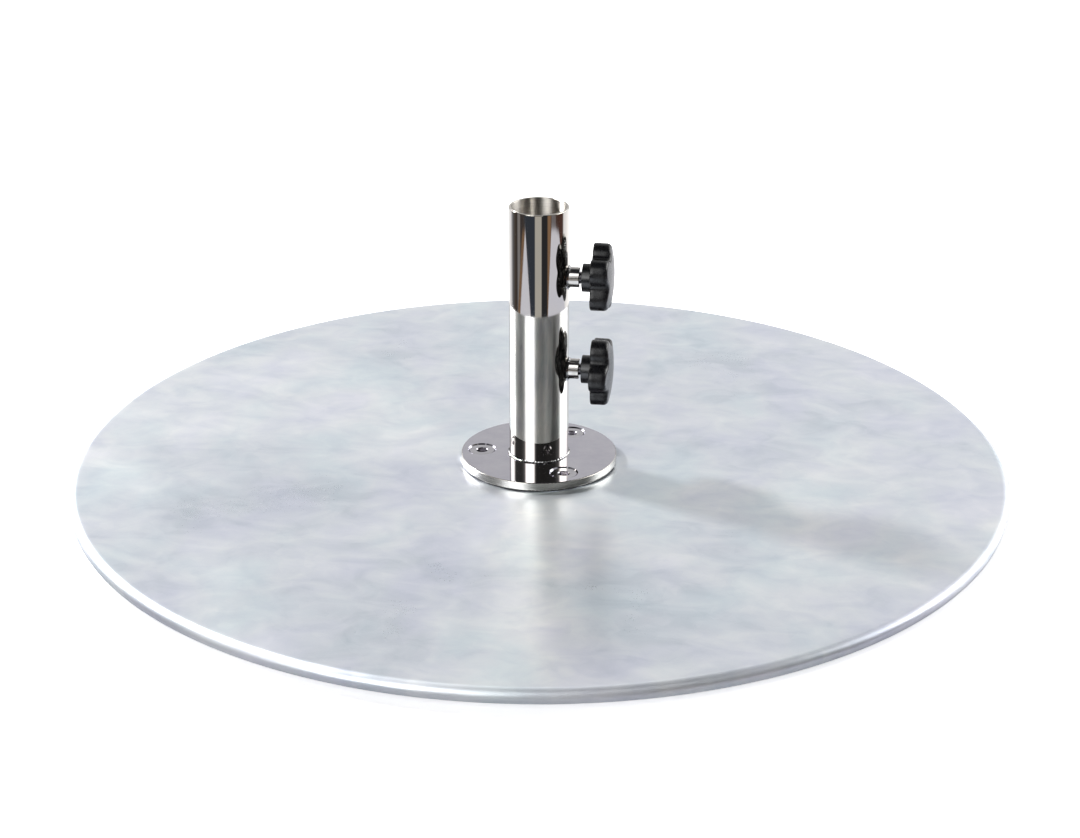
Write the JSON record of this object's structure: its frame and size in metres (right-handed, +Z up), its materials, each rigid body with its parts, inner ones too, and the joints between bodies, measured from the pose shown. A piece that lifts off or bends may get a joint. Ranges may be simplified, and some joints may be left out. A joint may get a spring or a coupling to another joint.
{
  "type": "parasol base",
  "caption": "Heavy round steel plate with a flanged upright socket tube for a parasol pole and star-knob clamp screws on its side.",
  "frame": {"origin": "centre of the plate, on the floor under its rubber feet", "axes": "+Z up along the socket tube, +X out through both clamp screws towards their knobs"},
  "size_m": [0.8998, 0.8998, 0.277],
  "materials": {
    "zinc": "satin",
    "polished_steel": "polished",
    "weld_steel": "satin",
    "screw_steel": "satin",
    "knob_plastic": "satin",
    "tip_plastic": "matte",
    "rubber": "matte"
  },
  "bodies": {
    "base": {"base_plate": "zinc", "flange_gasket": "rubber", "flange": "polished_steel", "flange_weld": "weld_steel", "socket_tube": "polished_steel", "flange_screw_1": "screw_steel", "flange_screw_2": "screw_steel", "flange_screw_3": "screw_steel", "upper_boss": "polished_steel", "upper_boss_weld": "weld_steel", "lower_boss": "polished_steel", "lower_boss_weld": "weld_steel", "foot_1": "rubber", "foot_2": "rubber", "foot_3": "rubber", "foot_4": "rubber", "foot_5": "rubber", "foot_6": "rubber", "foot_screw_1": "screw_steel", "foot_screw_2": "screw_steel", "foot_screw_3": "screw_steel", "foot_screw_4": "screw_steel", "foot_screw_5": "screw_steel", "foot_screw_6": "screw_steel"},
    "upper_tip": {"upper_thrust_tip": "tip_plastic"},
    "upper_clamp": {"upper_knob": "knob_plastic", "upper_stud": "screw_steel"},
    "lower_tip": {"lower_thrust_tip": "tip_plastic"},
    "lower_clamp": {"lower_knob": "knob_plastic", "lower_stud": "screw_steel"}
  },
  "joints": [
    {"name": "upper_feed", "type": "slide", "parent": "base", "child": "upper_tip", "axis": [1, 0, 0], "range_m": [-0.002, 0.0071]},
    {"name": "upper_turn", "type": "hinge", "parent": "upper_tip", "child": "upper_clamp", "pos_m": [0.0414, 0, 0.2085], "axis": [1, 0, 0], "range_deg": [-410, 1440]},
    {"name": "lower_feed", "type": "slide", "parent": "base", "child": "lower_tip", "axis": [1, 0, 0], "range_m": [-0.002, 0.0071]},
    {"name": "lower_turn", "type": "hinge", "parent": "lower_tip", "child": "lower_clamp", "pos_m": [0.0414, 0, 0.116], "axis": [1, 0, 0], "range_deg": [-410, 1440]}
  ],
  "couplings": [
    {"joint": "upper_feed", "follows": "upper_turn", "m_per_rad": 0.00027852},
    {"joint": "lower_feed", "follows": "lower_turn", "m_per_rad": 0.00027852}
  ]
}
